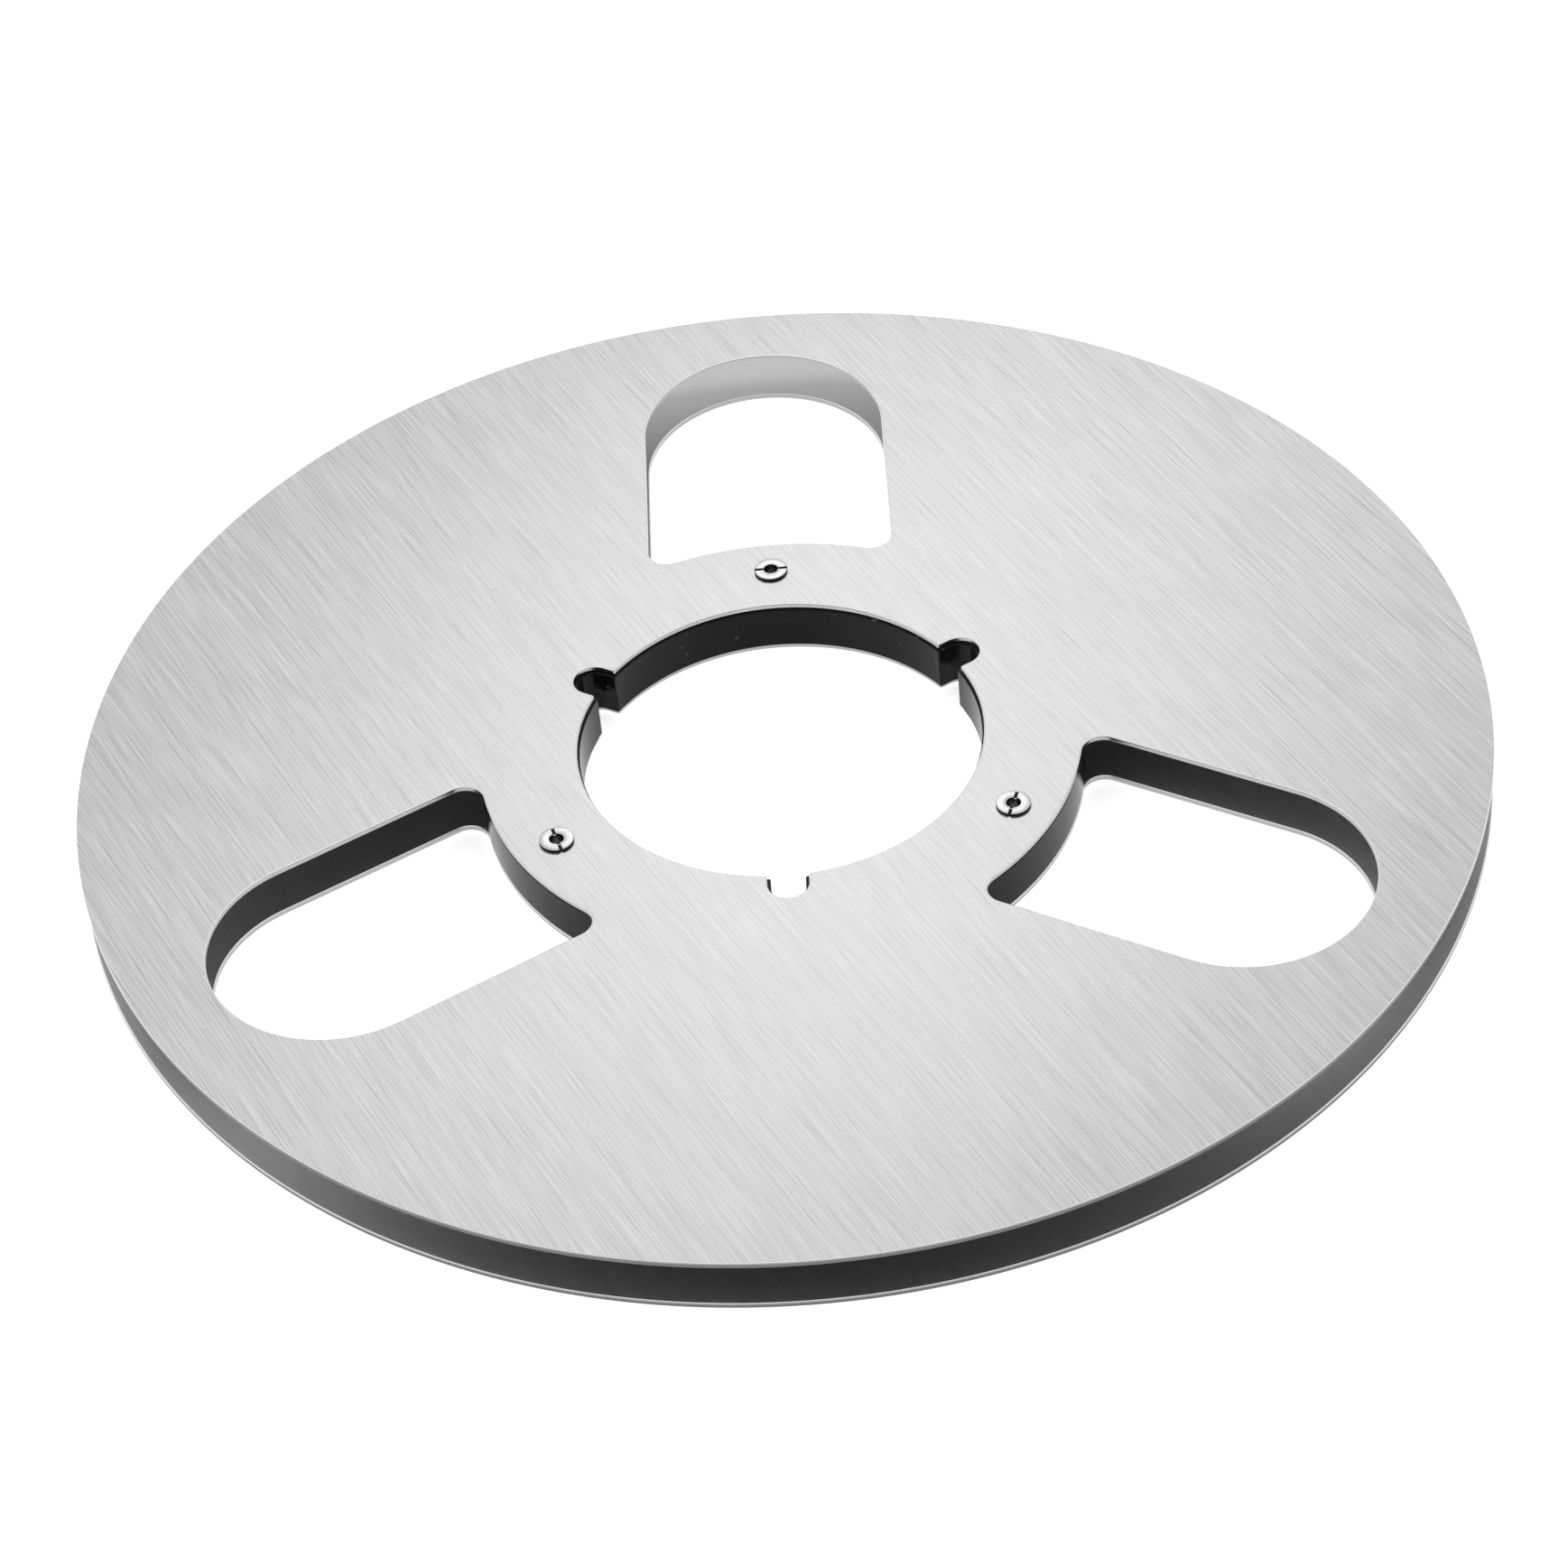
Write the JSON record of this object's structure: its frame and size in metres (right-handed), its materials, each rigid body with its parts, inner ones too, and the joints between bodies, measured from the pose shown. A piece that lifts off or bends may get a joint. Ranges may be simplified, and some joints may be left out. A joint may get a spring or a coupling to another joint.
{
  "type": "open tape reel",
  "caption": "Large open reel for audio tape: flat metal flanges with arched windows, clamped by slotted screws to a hub with a notched bore.",
  "frame": {"origin": "on the reel's axis, in the plane of the lower screw heads' outer faces, which is the plane the reel rests on", "axes": "+Z along the reel's axis, from the lower flange to the upper flange; +Y through the middle of one window of each flange"},
  "size_m": [0.2666, 0.2666, 0.0125],
  "materials": {
    "flange_aluminium": "straight-line brushed, clear satin anodised, bright broken edges",
    "hub_plastic": "moulded black, glossy",
    "screw_steel": "bright nickel plated, fine turning marks on the heads"
  },
  "bodies": {
    "root": {"lower_flange": "flange_aluminium", "upper_flange": "flange_aluminium", "hub": "hub_plastic", "screw_post_1": "screw_steel", "screw_post_2": "screw_steel", "screw_post_3": "screw_steel", "clamp_screw_1": "screw_steel", "clamp_screw_2": "screw_steel", "clamp_screw_3": "screw_steel"}
  },
  "joints": []
}
